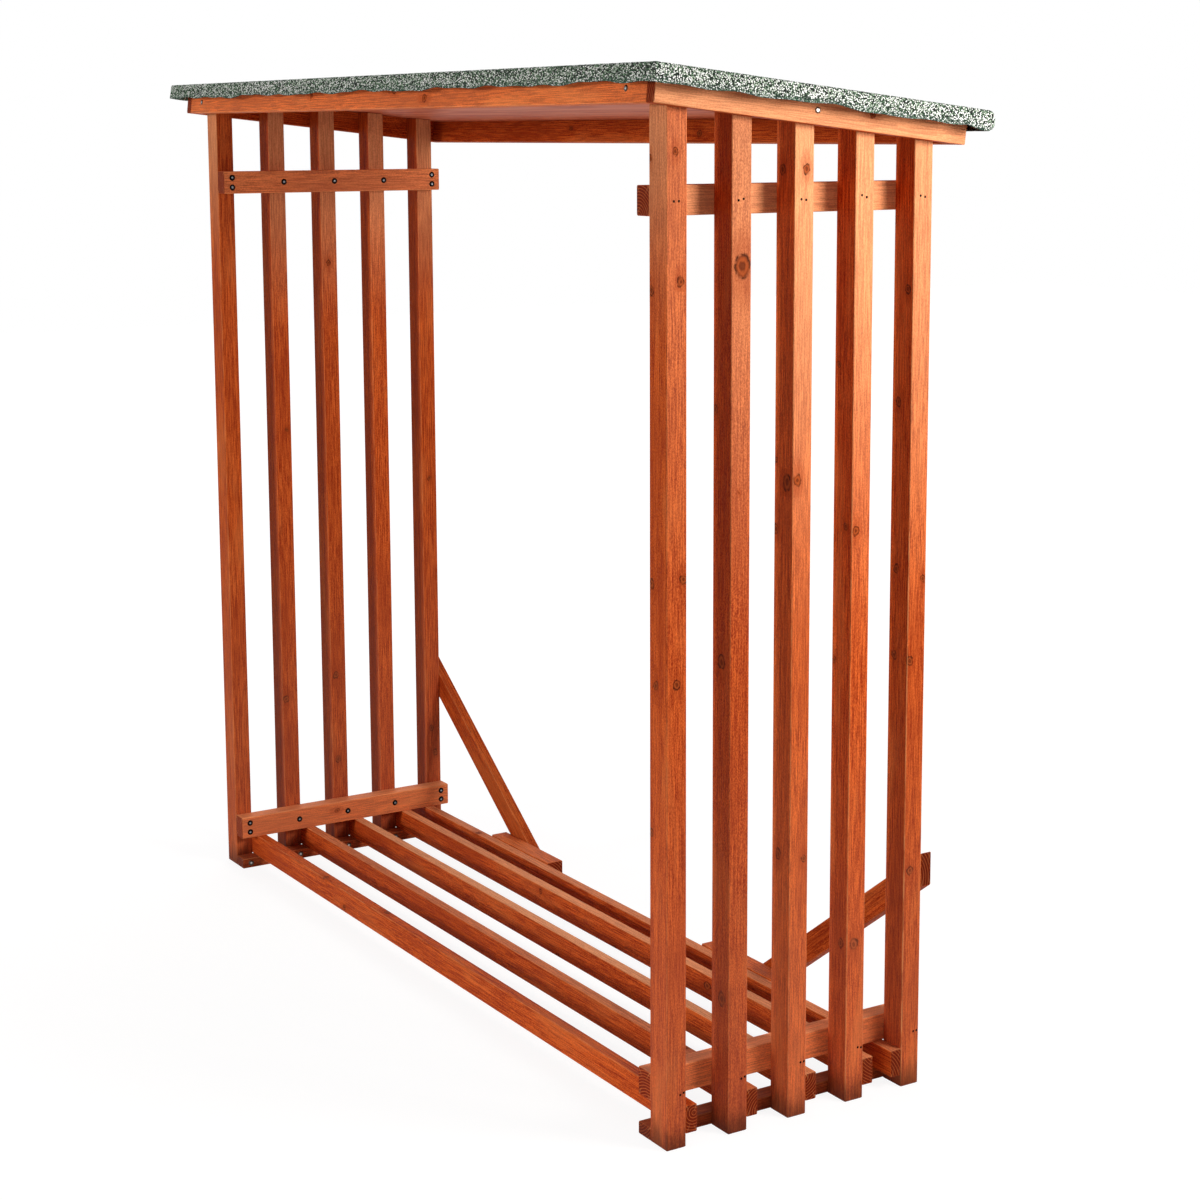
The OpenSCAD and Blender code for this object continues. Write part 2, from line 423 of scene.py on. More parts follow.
timberShape = dict(
    easing=0.0020,  # radius of the eased edges
    easingSpread=0.22,  # share by which it varies along a timber
    easingRates=(2.0, 5.0, 9.0),  # of its waves, in radians to a metre
    cornerSteps=5,
    stationGap=0.045,  # between rings along a timber
    endEasing=0.0012,
    drift=0.012,  # how far the heart moves across in a metre along
    grainSpread=40.0,  # timbers are cut from this length of grain
    knotsPerMetre=1.6,
    knotRadius=(0.004, 0.008),
    knotMargin=0.03,  # from a timber's ends
    knotOff=0.35,  # at most this far off a face's middle, in shares of the face
    litSideRise=(0.70, 1.75),  # heights between which the ends' outer faces take a painted highlight
    underRoofLight=(1.18, 1.70),  # and between which painted light shows on inside faces, close under the roof
    eaves=(1.30, 1.72),  # and between which the front posts' fronts take a painted highlight
)


def looseKnots(size, reach, sideChoice=(0, 1, 2, 3), spec=timberShape):
    # knots at random, each a distance along, a place on the section's outline and a radius
    knots = []
    for _ in range(rng.poisson(spec["knotsPerMetre"] * reach)):
        side = rng.choice(sideChoice)
        level = rng.uniform(-spec["knotOff"], spec["knotOff"])
        place = ((0.5, level), (level, 0.5), (-0.5, level), (level, -0.5))[side]
        along = rng.uniform(spec["knotMargin"], reach - spec["knotMargin"])
        radius = rng.uniform(*spec["knotRadius"])
        knots.append((along, place[0] * size[0], place[1] * size[1], radius))
    return knots


farKnot = -9.0, 0.0, 0.0, 1e-5  # too far off and too small to show, for a timber with none


def timber(name, middle, axis, across, size, cuts, heart, look, knots=None, spec=timberShape):
    # An eased rectangle carried along a straight path. Ring point = middle + a*across + b*third,
    # where (a, b) runs round the four eased corners, and each of its lines along the timber
    # goes from the plane that cuts one end to the plane that cuts the other.
    third = np.cross(axis, across)
    (startAt, startNormal), (endAt, endNormal) = cuts
    reach = float(np.dot(endAt - startAt, axis))
    stations = max(4, int(reach / spec["stationGap"]))
    eased = spec["endEasing"] / reach
    share = np.concatenate(([0.0], np.linspace(eased, 1 - eased, stations), [1.0]))

    corner = np.repeat(np.arange(4), spec["cornerSteps"] + 1)
    angle = np.tile(np.linspace(0, math.pi / 2, spec["cornerSteps"] + 1), 4) + corner * math.pi / 2
    sideA = np.array([1, -1, -1, 1])[corner]
    sideB = np.array([1, 1, -1, -1])[corner]
    rates = np.array(spec["easingRates"]) * reach
    waves = rng.uniform(0, 2 * math.pi, (len(rates), 4))
    wander = sum(np.sin(rate * share[:, None] + wave) / len(rates) for rate, wave in zip(rates, waves))
    radius = (spec["easing"] * (1 + spec["easingSpread"] * wander))[:, corner]
    shrink = np.where((share == 0) | (share == 1), spec["endEasing"], 0.0)[:, None]
    a = sideA * (size[0] / 2 - shrink - radius) + radius * np.cos(angle)
    b = sideB * (size[1] / 2 - shrink - radius) + radius * np.sin(angle)
    line = middle + a[..., None] * across + b[..., None] * third
    first = ((startAt - line) @ startNormal) / np.dot(axis, startNormal)
    last = ((endAt - line) @ endNormal) / np.dot(axis, endNormal)
    along = first + share[:, None] * (last - first)
    rings = line + along[..., None] * axis
    count = len(angle)

    # each end closes on one middle point, on the plane that cuts it
    ends = np.array([rings[0].mean(0), rings[-1].mean(0)])
    points = np.concatenate([rings.reshape(-1, 3), ends])
    quads = gridFaces(len(share), count)
    k = np.arange(count)
    startFan = np.stack([np.full(count, len(points) - 2), (k + 1) % count, k], 1)
    lastRing = (len(share) - 1) * count
    endFan = np.stack([np.full(count, len(points) - 1), lastRing + k, lastRing + (k + 1) % count], 1)
    onCorner = (k % (spec["cornerSteps"] + 1)) < spec["cornerSteps"]
    smooth = np.concatenate([np.tile(onCorner, len(share) - 1), np.zeros(2 * count, bool)])

    # grain: along the timber and across it from the heart, which drifts a little along the way
    offset = points - middle
    origin = float(np.dot(startAt - middle, axis))
    drift = rng.uniform(-spec["drift"], spec["drift"], 2)
    grainStart = rng.uniform(0, spec["grainSpread"])

    def fromHeart(lengthwise, a, b):
        shift = lengthwise - origin - reach / 2
        return np.stack([lengthwise + grainStart, a - heart[0] - drift[0] * shift,
                         b - heart[1] - drift[1] * shift], 1)

    grain = fromHeart(offset @ axis, offset @ across, offset @ third)

    # each face carries the place and the size of the knot nearest to it
    faces = quads.tolist() + startFan.tolist() + endFan.tolist()
    knots = np.array(looseKnots(size, reach) if knots is None else knots).reshape(-1, 4)
    knots = np.concatenate([knots, [farKnot]])
    spot = np.stack([knots[:, 0] + origin, knots[:, 1], knots[:, 2]], 1)
    facePlace = np.concatenate([points[corners].mean(1) for corners in (quads, startFan, endFan)]) - middle
    facePlace = np.stack([facePlace @ axis, facePlace @ across, facePlace @ third], 1)
    nearest = np.linalg.norm(facePlace[:, None] - spot, axis=2).argmin(1)
    knotValues = {"knot": fromHeart(*spot.T)[nearest], "knotSize": knots[nearest, 3]}

    # painted highlights: the ends' outer faces, the more so higher up, inside faces close under the roof, the
    # front posts' fronts and the tops
    def smoothRise(low, high):
        t = np.clip((rings[..., 2] - low) / (high - low), 0, 1)
        return t * t * (3 - 2 * t)

    outward = (np.cos(angle) * across[0] + np.sin(angle) * third[0]) * np.sign(rings[..., 0])
    upward = np.cos(angle) * across[2] + np.sin(angle) * third[2]
    paintedHighlight = look["paintedLight"] * np.clip(outward, 0, 1) * smoothRise(*spec["litSideRise"])
    underRoofLit = look["underRoofLight"] * np.clip(-outward, 0, 1) * smoothRise(*spec["underRoofLight"])
    frontward = -np.cos(angle) * across[1] - np.sin(angle) * third[1]
    frontLit = look["frontHighlight"] * np.clip(frontward, 0, 1) * smoothRise(*spec["eaves"])
    topSheenShare = look["topSheen"] * np.clip(upward, 0, 1) * np.ones_like(along)
    paintedLightShare = np.max([paintedHighlight, underRoofLit, frontLit, topSheenShare], 0)

    endCut = np.zeros((len(share), count))
    endCut[[0, -1]] = 1.0
    middleOfCorner = 1 - np.abs(2 * (k % (spec["cornerSteps"] + 1)) / spec["cornerSteps"] - 1)
    arris = np.tile(middleOfCorner, len(share))
    values = {
        "grain": grain,
        "mood": np.tile(look["mood"], (len(points), 1)),
        "endCut": np.concatenate([endCut.ravel(), [1.0, 1.0]]),
        "arris": np.concatenate([arris * look["arrisWearAndHighlight"], [0.0, 0.0]]),
        "soil": np.full(len(points), look["soil"]),
        "paintedLight": np.concatenate([paintedLightShare.ravel(), [0.0, 0.0]]),
    }
    makePiece(name + "_timber", points, faces, softwoodFinish, smooth, values, (name,),
              knotValues)


def squareCuts(start, end, axis):
    # planes square to a timber at its two ends
    return (start, axis), (end, axis)


# the first four lay on painted highlights: outer faces of the ends, inside faces under the roof, the front
# posts' fronts and tops; the fifth is worn arrises with a painted highlight; soil is real dirt
usualLook = dict(paintedLight=0.8, underRoofLight=0.0, frontHighlight=0.0, topSheen=0.0, arrisWearAndHighlight=0.35, soil=0.0)
moodSpread = dict(tone=(0.97, 1.03), pitting=(0.5, 1.5), tint=(-0.05, 0.05))


def lookOf(tone, pitting=0.10, tint=0.0, **own):
    # the usual look with a timber's own over it, its tone, pits and tint a little different each time
    mood = (tone * rng.uniform(*moodSpread["tone"]), pitting * rng.uniform(*moodSpread["pitting"]),
            tint + rng.uniform(*moodSpread["tint"]))
    return {**usualLook, **own, "mood": mood}


def heartOf(near, far):
    # where the tree's heart lies from the middle of a section
    turn = rng.uniform(0, 2 * math.pi)
    away = rng.uniform(near, far)
    return away * math.cos(turn), away * math.sin(turn)


postLook = dict(
    # front post first
    left=dict(
        tone=(0.95, 0.96, 0.97, 1.04, 0.95),
        tint=(0.06, 0.08, 0.08, 0.04, 0.08),
        pitting=(0.04, 0.10, 0.08, 0.08, 0.04),
        paintedLight=(0.35, 0.60, 0.90, 0.90, 0.90),
        arrisWearAndHighlight=(0.35, 0.25, 0.30, 0.30, 0.30),
    ),
    right=dict(
        tone=(1.02, 0.97, 1.11, 1.10, 1.03),
        tint=(0.14, 0.22, 0.0, 0.02, 0.04),
        pitting=(0.20, 0.27, 0.12, 0.10, 0.07),
        paintedLight=(0.34, 0.70, 1.0, 1.0, 0.95),
        arrisWearAndHighlight=(0.20, 0.25, 0.40, 0.55, 0.80),
    ),
    both=dict(underRoofLight=(0.05, 0.90, 0.90, 0.95, 0.90), frontHighlight=(0.80, 0.0, 0.0, 0.0, 0.0)),
    heart=(0.012, 0.055),  # the least and the most that the tree's heart lies off
    soil=0.70,
    # knots on the faces towards +X and the front: height, place across the face and radius
    knots={
        "left_post_2": {"x": ((0.37, -0.010, 0.006), (0.99, 0.008, 0.004))},
        "left_post_3": {"x": ((1.36, -0.002, 0.005), (0.41, -0.006, 0.006), (0.21, -0.005, 0.006))},
        "left_post_5": {"x": ((0.19, 0.004, 0.006), (0.25, -0.004, 0.005), (0.85, 0.0, 0.004))},
        "right_post_1": {"x": ((0.78, 0.000, 0.006), (0.95, 0.013, 0.006), (1.42, 0.007, 0.006),
                               (1.62, -0.003, 0.005)),
                         "front": ((0.53, -0.020, 0.005), (0.775, -0.007, 0.006), (0.94, -0.018, 0.006),
                                   (1.405, -0.018, 0.006), (1.61, -0.022, 0.005))},
        "right_post_2": {"x": ((1.44, 0.002, 0.014), (1.08, -0.003, 0.002)),
                         "front": ((0.23, 0.005, 0.009), (0.80, 0.001, 0.009), (1.21, -0.019, 0.006))},
        "right_post_3": {"x": ((1.59, 0.004, 0.006), (1.09, -0.009, 0.007), (0.45, 0.010, 0.005)),
                         "front": ((1.59, -0.008, 0.007), (1.12, -0.020, 0.004), (1.085, 0.010, 0.010),
                                   (1.005, -0.019, 0.006), (0.455, -0.007, 0.007))},
        "right_post_4": {"x": ((0.995, -0.010, 0.006), (0.28, -0.004, 0.008)),
                         "front": ((1.27, -0.013, 0.004), (1.00, 0.010, 0.005), (0.77, -0.018, 0.004),
                                   (0.28, 0.008, 0.006))},
        "right_post_5": {"x": ((0.76, -0.013, 0.006), (0.90, 0.012, 0.005), (0.39, -0.006, 0.006)),
                         "front": ((0.765, -0.010, 0.006), (0.915, -0.008, 0.006), (1.20, -0.008, 0.006),
                                   (1.39, 0.012, 0.006))},
    },
)


def makePosts(spec):
    # posts stand square on the ground and are cut to the board's slope
    for side in sides:
        for i in range(1, postCount + 1):
            node = f"{side}_post_{i}"
            low, high = boxOf(node)
            size = (high - low)[:2]
            middle = np.array([(low[0] + high[0]) / 2, (low[1] + high[1]) / 2, 0.0])
            cuts = (middle, zAxis), (boardUnder, offSlope)
            seen = spec["knots"].get(node, {})
            knots = [(z, size[0] / 2, place, radius) for z, place, radius in seen.get("x", ())]
            knots += [(z, place, -size[1] / 2, radius) for z, place, radius in seen.get("front", ())]
            knots += looseKnots(size, high[2], (1, 2))  # and some on the two faces turned away
            own = {trait: each[i - 1] for trait, each in {**spec[side], **spec["both"]}.items()}
            timber(node, middle, zAxis, xAxis, size, cuts, heartOf(*spec["heart"]),
                   lookOf(soil=spec["soil"], **own), knots)


def levelTimber(node, axis, across, heart, look):
    # a timber that fills its node's level box
    low, high = boxOf(node)
    middle = (low + high) / 2
    half = (high - low) / 2 @ axis
    third = np.cross(axis, across)
    size = (abs((high - low) @ across), abs((high - low) @ third))
    cuts = squareCuts(middle - half * axis, middle + half * axis, axis)
    timber(node, middle, axis, across, size, cuts, heart, look)


battenLook = dict(
    heart=(0.02, 0.06),
    kinds={
        "upper_batten": dict(tone=1.15, topSheen=0.2, paintedLight=1.0, underRoofLight=0.40),
        "lower_batten": dict(tone=1.34, tint=-0.15, topSheen=0.3, soil=0.45),
        "foot_rail": dict(tone=1.08, topSheen=0.2, soil=0.45),
    },
)


def makeBattens(spec):
    for side in sides:
        for kind, own in spec["kinds"].items():
            levelTimber(f"{side}_{kind}", yAxis, -xAxis, heartOf(*spec["heart"]), lookOf(**own))


slatLook = dict(
    # front slat first
    traits=dict(
        tone=(1.12, 1.08, 1.07, 1.09, 1.07),
        tint=(0.10, 0.08, 0.05, 0.05, 0.05),
        # a painted sheen on the tops, strongest on the middle slats
        topSheen=(0.0, 0.40, 0.95, 0.75, 0.55),
    ),
    # the slats' hearts, across and up from the middle of each section
    hearts=((0.001, 0.010), (0.030, -0.020), (-0.022, 0.016), (0.060, 0.100), (-0.050, -0.030)),
)


def makeFloor(spec):
    for i, heart in enumerate(spec["hearts"]):
        own = {trait: each[i] for trait, each in spec["traits"].items()}
        levelTimber(f"floor_slat_{i + 1}", xAxis, yAxis, heart, lookOf(**own))


braceLook = dict(
    width=0.048,  # across its slope
    heart=(0.03, 0.07),
    brace=dict(tone=0.88, tint=0.08),
    block=dict(tone=1.06, topSheen=0.10),
)


def makeBraces(spec):
    # a brace runs from a level cut at the floor's underside up to a plumb cut at the end post
    for side, way in sides.items():
        low, high = boxOf(f"{side}_brace")
        outer = high[0] if way > 0 else low[0]
        rise = math.atan2(high[2] - low[2], high[0] - low[0])
        axis = np.array([way * math.cos(rise), 0.0, math.sin(rise)])
        across = yAxis * way
        upper = np.array([outer, (low[1] + high[1]) / 2, high[2]])
        middle = upper - np.cross(axis, across) * spec["width"] / 2
        cuts = (low, zAxis), (upper, xAxis * way)
        timber(f"{side}_brace", middle, axis, across, (high[1] - low[1], spec["width"]), cuts,
               heartOf(*spec["heart"]), lookOf(**spec["brace"]))
        levelTimber(f"{side}_brace_block", xAxis, yAxis, heartOf(*spec["heart"]), lookOf(**spec["block"]))


railLook = dict(
    heart=(0.03, 0.08),
    side=dict(tone=1.06, paintedLight=1.0),
    cross={"front_roof_rail": dict(tone=1.36, tint=-0.10), "back_roof_rail": dict(tone=0.94)},
    # knots on a side rail's outer face and on a cross rail's front: place along and up, and radius
    sideKnots=((0.42, 0.004, 0.0045),),
    crossKnots=((0.62, 0.006, 0.005), (0.98, 0.010, 0.006), (1.10, -0.006, 0.006)),
)


def makeRoofRails(spec):
    # rails lie on the slope: one at each end, and between their outer faces one in front and one behind
    corner, run, height = slopeBox("right_roof_rail")
    for side, way in sides.items():
        low, high = boxOf(f"{side}_roof_rail")
        thick = high[0] - low[0]
        start = corner + xAxis * (low[0] + high[0]) / 2 + offSlope * height / 2
        knots = [(along, -way * thick / 2, up, radius) for along, up, radius in spec["sideKnots"]]
        timber(f"{side}_roof_rail", start, downSlope, -xAxis, (thick, height),
               squareCuts(start, start + downSlope * run, downSlope), heartOf(*spec["heart"]),
               lookOf(**spec["side"]), knots)
    for name, along in (("front_roof_rail", 0.0), ("back_roof_rail", run - thick)):
        low, high = boxOf(name)
        start = corner + downSlope * (along + thick / 2) + offSlope * height / 2 + xAxis * low[0]
        knots = [(place, -thick / 2, up, radius) for place, up, radius in spec["crossKnots"]]
        timber(name, start, xAxis, downSlope, (thick, height),
               squareCuts(start, start + xAxis * (high[0] - low[0]), xAxis), heartOf(*spec["heart"]),
               lookOf(**spec["cross"][name]), knots)


makePosts(postLook)
makeBattens(battenLook)
makeFloor(slatLook)
makeBraces(braceLook)
makeRoofRails(railLook)
print("timbers made")

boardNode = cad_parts["roof_board"]
boardNode.data.materials.clear()
boardNode.data.materials.append(plyFinish)

feltShape = dict(
    step=0.0045,  # along the edge
    cornerSteps=9,  # points round an upright fold
    frontCorner=0.004,  # radii of the upright folds, seen from above
    backCorner=0.013,
    frontFold=0.0045,  # radii of the fold over the board's edge
    backFold=0.0125,
    backBulge=0.005,  # the back edge rolls out by this much
    backTuck=0.014,  # and its hem turns under by this much, in a round
    backBlend=(-0.05, 0.90),  # how far towards the back a normal points where that starts and is full
    cornerDrop=0.004,  # the sides hang this much lower by the back edge
    cornerReach=0.060,
    hemTrim=0.001,  # what the hem's lower edge lacks of the full depth
    hemWave=0.0042,  # and the waves in it, cut by hand
    hemWaves=(0.43, 0.26, 0.17, 0.095),
    hemPhase=0.6,
    flare=0.0022,  # the hem stands off in soft waves
    flareLevel=0.6,  # about this share of it
    flareWaves=(0.31, 0.19, 0.11),
    flarePhase=1.9,
    phaseStep=2.1,  # from one wave to the next
    topWave=0.0012,  # the top lies in shallow swells
    topSwell=(9.0, 11.0),  # their radians to a metre, along and down the slope
    topPhase=1.0,
    topCross=(23.0, 17.0),  # and those of smaller ones across them
    topCrossShare=0.6,
    topEase=4.0,  # they rise to their full depth over one part in this many from the edge
    cutInside=0.0002,  # how far the cut edge's two corners are eased
    cutOutside=0.0004,
    cutFrom=0.985,  # and where it starts, in shares of the hem
    roughness=0.00022,  # grit on the skin
    gritLift=0.5,  # share of that off the slope
    insideFrom=0.35,  # rows inside the hem start at this share of it
    insideRows=4,
    hemRows=7,
    foldRows=6,
    topRows=14,
)


def roundedPath(halfLength, run, radii, step, cornerSteps):
    # Points, outward normals and distance along a rectangle with rounded corners, walked
    # anticlockwise from the front left: each side is a straight run and each corner a quarter turn.
    frontRadius, backRadius = radii
    turns = ((halfLength, 0.0, frontRadius, -90), (halfLength, run, backRadius, 0),
             (-halfLength, run, backRadius, 90), (-halfLength, 0.0, frontRadius, 180))
    places, normals = [], []
    for x, y, radius, start in turns:
        angle = np.radians(start + np.linspace(0, 90, cornerSteps))
        normal = np.stack([np.cos(angle), np.sin(angle)], 1)
        inward = np.array([math.copysign(radius, -x), radius if y == 0 else -radius])
        places.append(np.array([x, y]) + inward + radius * normal)
        normals.append(normal)
    path, outward = [], []
    for here, there, turned in zip(places, places[1:] + places[:1], normals):
        path.append(here)
        outward.append(turned)
        gap = there[0] - here[-1]
        count = int(np.linalg.norm(gap) / step)
        between = here[-1] + gap * (np.arange(1, count)[:, None] / count)
        path.append(between)
        outward.append(np.tile(turned[-1], (len(between), 1)))
    path, outward = np.concatenate(path), np.concatenate(outward)
    stride = np.linalg.norm(np.roll(path, -1, 0) - path, axis=1)
    return path, outward, np.concatenate(([0.0], np.cumsum(stride)[:-1])), stride.sum()


def ripple(distance, around, lengths, phase, phaseStep):
    # sum of sines whose wavelengths are near the given ones and fit the way round
    total = np.zeros_like(distance)
    for k, length in enumerate(lengths):
        turns = max(1, round(around / length))
        total += np.sin(2 * math.pi * turns * distance / around + phase + phaseStep * k) / len(lengths)
    return total


def makeFelt(spec):
    # One closed skin, a function of the way round the edge and of the way through the section:
    # from the middle line under the sheet, out to the edge, down inside the hem, round its cut edge,
    # up outside, over the fold and back in to the middle line on top.
    corner, run, hem = slopeBox("roof_felt")
    low, high = boxOf("roof_felt")
    thick = high[0] - boxOf("roof_board")[1][0]
    halfLength = (high[0] - low[0]) / 2
    radii = spec["frontCorner"], spec["backCorner"]
    path, outward, distance, around = roundedPath(halfLength, run, radii, spec["step"], spec["cornerSteps"])
    least, most = spec["backBlend"]
    back = np.clip((outward[:, 1] - least) / (most - least), 0, 1)  # 1 along the back, 0 at sides and front
    back = back * back * (3 - 2 * back)
    fold = spec["frontFold"] + (spec["backFold"] - spec["frontFold"]) * back
    bulge = spec["backBulge"] * back
    tuck = spec["backTuck"] * back
    byBack = np.clip((path[:, 1] - run + spec["cornerReach"]) / spec["cornerReach"] * 2, 0, 1)
    hemWave = ripple(distance, around, spec["hemWaves"], spec["hemPhase"], spec["phaseStep"])
    depth = hem - spec["hemTrim"] + spec["hemWave"] * hemWave * (1 - byBack) + spec["cornerDrop"] * byBack
    flareWave = ripple(distance, around, spec["flareWaves"], spec["flarePhase"], spec["phaseStep"])
    flare = spec["flare"] * (spec["flareLevel"] + flareWave) * (1 - back)
    middleSpan = halfLength - run / 2
    seamStep = 2 * spec["step"]  # points from the front and the back meet at these along the middle line

    def ring(inset, drop, toMiddle=0.0):
        # points a distance in from the edge and down from the top, or drawn in towards the middle line
        flat = path - outward * np.reshape(inset, (-1, 1))
        level = np.round(np.clip(flat[:, 0], -middleSpan, middleSpan) / seamStep) * seamStep
        middle = np.stack([level, np.full(len(flat), run / 2)], 1)
        flat = flat + (middle - flat) * toMiddle
        return np.concatenate([flat, np.reshape(hem - drop, (-1, 1)) * np.ones((len(flat), 1))], 1)

    def hemOut(share):
        # how far the hem stands out at a share of the way down it
        under = np.clip((share - 0.5) / 0.5, 0, 1)
        return bulge + flare * share ** 2 - tuck * (1 - math.sqrt(1 - under * under))

    under = np.full(len(path), thick)
    rows, drops, cuts = [], [], []

    def addRow(points, drop=0.0, cut=0.0):
        rows.append(points)
        drops.append(np.full(len(path), drop))
        cuts.append(np.full(len(path), cut))

    for share in (1.0, 0.5, 0.0):
        addRow(ring(under, under, share))
    for share in np.linspace(spec["insideFrom"], 1, spec["insideRows"]):
        addRow(ring(thick - hemOut(share), under + (depth - under) * share), share)
    addRow(ring(thick - hemOut(1.0) - spec["cutInside"], depth), 1.0, 1.0)
    skin = slice(len(rows), None)  # the rows from here on show grit
    addRow(ring(-hemOut(1.0) + spec["cutOutside"], depth), 1.0, 1.0)
    for share in np.linspace(spec["cutFrom"], 0.0, spec["hemRows"]):
        addRow(ring(-hemOut(share), fold + (depth - fold) * share), share)
    for turn in np.linspace(math.pi / 2, 0, spec["foldRows"])[1:]:
        addRow(ring(fold * (1 - math.sin(turn)) - bulge, fold * (1 - math.cos(turn))))
    for share in np.linspace(0, 1, spec["topRows"])[1:]:
        sheet = ring(fold - bulge, 0.0, share)
        along, down = (sheet[:, :2] * spec["topSwell"]).T
        wave = np.sin(along + spec["topPhase"]) * np.sin(down)
        wave = wave + spec["topCrossShare"] * np.sin(sheet[:, :2] @ spec["topCross"])
        sheet[:, 2] -= spec["topWave"] * (0.5 + 0.5 * wave) * min(1.0, spec["topEase"] * share) * (share < 1)
        addRow(sheet)
    local = np.stack(rows)
    local[skin] += rng.normal(0, spec["roughness"], local[skin].shape) * [1, 1, spec["gritLift"]]
    local[-1, :, :] = ring(fold - bulge, 0.0, 1.0)  # both middle lines close exactly
    points = corner + local[..., :1] * xAxis + local[..., 1:2] * downSlope + local[..., 2:] * offSlope

    faces = gridFaces(len(rows), len(path))
    values = {"hemDrop": np.concatenate(drops), "cutEdge": np.concatenate(cuts)}
    return makePiece("roof_felt_sheet", points, faces.tolist(), feltMaterial,
                     np.ones(len(faces), bool), values, ("roof_felt",))


felt = makeFelt(feltShape)
print("felt made,", len(felt.data.polygons), "faces")

screwShape = dict(
    headRadius=0.0050,
    headHeight=0.0010,
    shadedCollar=0.0066,  # the dark ring round a head: crushed wood and the painted shade of its sunk hole
    slotRadius=0.0034,
    slotDepth=0.0009,
    pairGap=0.021,  # between the two screws at an end post
    turnSteps=24,
)
nailShape = dict(
    headRadius=0.0020,
    headHeight=0.0003,
    shadedCollar=0.0022,
    turnSteps=10,
    # how far behind a post's middle each pair lies, and its spread
    pairs={"upper_batten": (-0.001, 0.0095), "lower_batten": (0.011, 0.0070)},
    uneven=0.003,  # they sit up to this much high or low
)
cloutShape = dict(
    headRadius=0.0050,
    headHeight=0.0011,
    shadedCollar=0.0054,
    turnSteps=16,
    inset=0.06,  # from a rail's ends
    below=0.0045,  # under the felt's hem
)
headProfile = dict(
    out=(0.0, 0.22, 0.42, 0.58, 0.72, 0.86, 0.96, 1.0),  # from the middle, in head radii
    rise=(1.0, 1.0, 0.99, 0.97, 0.93, 0.84, 0.55, 0.15),  # the dome there, in head heights
    collarRise=0.06,
    foot=-0.6,  # in head heights, where it closes in the wood
    slotTaper=2.2,  # the larger, the thinner the recess
    slotFade=6.0,  # and the steeper its ends
)


def studs(name, heads, shape, finish, spec=headProfile):
    # Round heads as one mesh, each at a place and facing along a normal. A head's height is a function
    # of the way out from its middle and the turn round it: a low dome that drops at the rim, less a
    # cross-shaped recess, then a flat collar, and it closes below the face of the wood.
    # the way out is carried as rim, by which the finish paints shade on the rim and collar
    radius, height, shadedCollar = shape["headRadius"], shape["headHeight"], shape["shadedCollar"]
    out = np.array([*spec["out"], shadedCollar / radius, shadedCollar / radius, 0.0])
    dome = np.array([*spec["rise"], spec["collarRise"], spec["foot"], spec["foot"]]) * height
    turn = np.linspace(0, 2 * math.pi, shape["turnSteps"], endpoint=False)
    cross = np.clip(1 - np.abs(np.sin(2 * turn)) * spec["slotTaper"], 0, 1)
    within = np.clip((shape.get("slotRadius", 0.0) / radius - out) * spec["slotFade"], 0, 1) * (dome > 0)
    rise = dome[:, None] - shape.get("slotDepth", 0.0) * within[:, None] * cross
    rise[0] = rise[0].min()
    u = out[:, None] * np.cos(turn) * radius
    v = out[:, None] * np.sin(turn) * radius
    flat = gridFaces(len(out), len(turn))
    points = []
    for place, normal in heads:
        side = np.cross(normal, xAxis if abs(normal[0]) < 0.5 else yAxis)
        side = side / np.linalg.norm(side)
        other = np.cross(normal, side)
        points.append(place + u[..., None] * side + v[..., None] * other + rise[..., None] * normal)
    points = np.stack(points)
    faces = np.concatenate([flat + k * u.size for k in range(len(points))])
    rim = np.tile(np.repeat(out, len(turn)), len(points))
    makePiece(name, points, faces.tolist(), finish, np.ones(len(faces), bool), {"rim": rim})


def makeFasteners():
    # screws through the battens and foot rails into each post, and nails through the posts' outer faces
    screws, footScrews, nails = [], [], []
    for side, way in sides.items():
        inward = -way * xAxis
        for kind in battenLook["kinds"]:
            low, high = boxOf(f"{side}_{kind}")
            face = low[0] if way > 0 else high[0]
            level = (low[2] + high[2]) / 2
            for i in range(1, postCount + 1):
                postLow, postHigh = boxOf(f"{side}_post_{i}")
                here = np.array([face, (postLow[1] + postHigh[1]) / 2, level])
                if kind == "foot_rail":
                    footScrews.append((here, inward))
                    continue
                paired = i in (1, postCount)
                for lift in ((-0.5, 0.5) if paired else (0.0,)):
                    screws.append((here + zAxis * lift * screwShape["pairGap"], inward))
                outer = postHigh[0] if way > 0 else postLow[0]
                behind, spread = nailShape["pairs"][kind]
                for step in (-0.5, 0.5):
                    up = level + rng.uniform(-nailShape["uneven"], nailShape["uneven"])
                    nails.append((np.array([outer, here[1] + behind + step * spread, up]), -inward))
    studs("batten_screws", screws, screwShape, blackedSteel)
    studs("foot_rail_screws", footScrews, screwShape, zincedSteel)
    studs("post_nails", nails, nailShape, nailSteel)


def makeClouts(spec):
    # felt nails in the rails, just under the hem: one near each end in front and behind, one at each side
    corner, run, _ = slopeBox("right_roof_rail")
    hemCorner = slopeBox("roof_felt")[0]
    line = corner + offSlope * ((hemCorner - corner) @ offSlope - spec["below"])
    railEnd = boxOf("front_roof_rail")[1][0] - spec["inset"]
    outer = boxOf("right_roof_rail")[1][0]
    nails = []
    for way in sides.values():
        for along, normal in ((0.0, -downSlope), (run, downSlope)):
            nails.append((line + downSlope * along + xAxis * way * railEnd, normal))
        nails.append((line + downSlope * run / 2 + xAxis * way * outer, way * xAxis))
    studs("felt_nails", nails, spec, zincedSteel)


makeClouts(cloutShape)
makeFasteners()
print("fasteners made")

